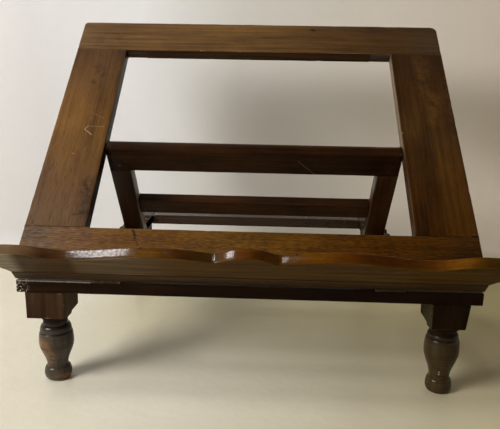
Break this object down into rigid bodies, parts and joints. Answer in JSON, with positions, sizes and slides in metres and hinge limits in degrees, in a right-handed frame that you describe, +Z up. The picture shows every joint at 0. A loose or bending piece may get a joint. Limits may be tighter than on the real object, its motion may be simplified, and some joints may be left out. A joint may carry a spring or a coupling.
{
  "type": "folding table lectern",
  "caption": "Folding wooden table lectern: a framed book rest with a scalloped ledge, hinged to a low base on turned feet and propped by a strut in notched racks.",
  "frame": {"origin": "on the table, under the middle of the lectern's outline", "axes": "+X across the lectern to the reader's right, +Y away from the reader, +Z up"},
  "size_m": [0.512, 0.3498, 0.3857],
  "materials": {
    "walnut_rest": "waxed, worn along the edges",
    "walnut_ledge": "polished by use",
    "walnut_base": "dark stain, waxed",
    "walnut_leg": "dark polish, worn",
    "walnut_strut": "dark stain, satin",
    "aged_brass": "darkened by age",
    "dark_steel": "darkened by age"
  },
  "bodies": {
    "base": {"base_front_rail": "walnut_base", "base_rear_rail": "walnut_base", "rack_left": "walnut_base", "rack_right": "walnut_base", "leg_block_front_left": "walnut_base", "leg_block_front_right": "walnut_base", "leg_block_rear_left": "walnut_base", "leg_block_rear_right": "walnut_base", "foot_front_left": "walnut_leg", "foot_front_right": "walnut_leg", "foot_rear_left": "walnut_leg", "foot_rear_right": "walnut_leg", "hinge_base_leaf_left": "aged_brass", "hinge_base_leaf_right": "aged_brass", "hinge_pin_left": "aged_brass", "hinge_pin_right": "aged_brass", "hinge_base_screw_left_outer": "aged_brass", "hinge_base_screw_left_inner": "aged_brass", "hinge_base_screw_right_outer": "aged_brass", "hinge_base_screw_right_inner": "aged_brass"},
    "book_rest": {"rest_top_rail": "walnut_rest", "rest_bottom_rail": "walnut_rest", "rest_stile_left": "walnut_rest", "rest_stile_right": "walnut_rest", "book_ledge": "walnut_ledge", "ledge_screw_left_inner": "dark_steel", "ledge_screw_left_outer": "dark_steel", "ledge_screw_right_inner": "dark_steel", "ledge_screw_right_outer": "dark_steel", "hinge_rest_leaf_left": "aged_brass", "hinge_rest_leaf_right": "aged_brass", "hinge_rest_screw_left_outer": "aged_brass", "hinge_rest_screw_left_inner": "aged_brass", "hinge_rest_screw_right_outer": "aged_brass", "hinge_rest_screw_right_inner": "aged_brass", "strut_pivot_pin_left": "dark_steel", "strut_pivot_pin_right": "dark_steel"},
    "strut": {"strut_top_rail": "walnut_strut", "strut_lower_rail": "walnut_strut", "strut_stile_left": "walnut_strut", "strut_stile_right": "walnut_strut", "strut_peg_left": "walnut_strut", "strut_peg_right": "walnut_strut"}
  },
  "joints": [
    {"name": "book_rest_tilt", "type": "hinge", "parent": "base", "child": "book_rest", "pos_m": [0, -0.1397, 0.1179], "axis": [1, 0, 0], "range_deg": [0, 47.8]},
    {"name": "strut_swing", "type": "hinge", "parent": "book_rest", "child": "strut", "pos_m": [0, -0.0194, 0.23771], "axis": [1, 0, 0], "range_deg": [0, 97]}
  ]
}
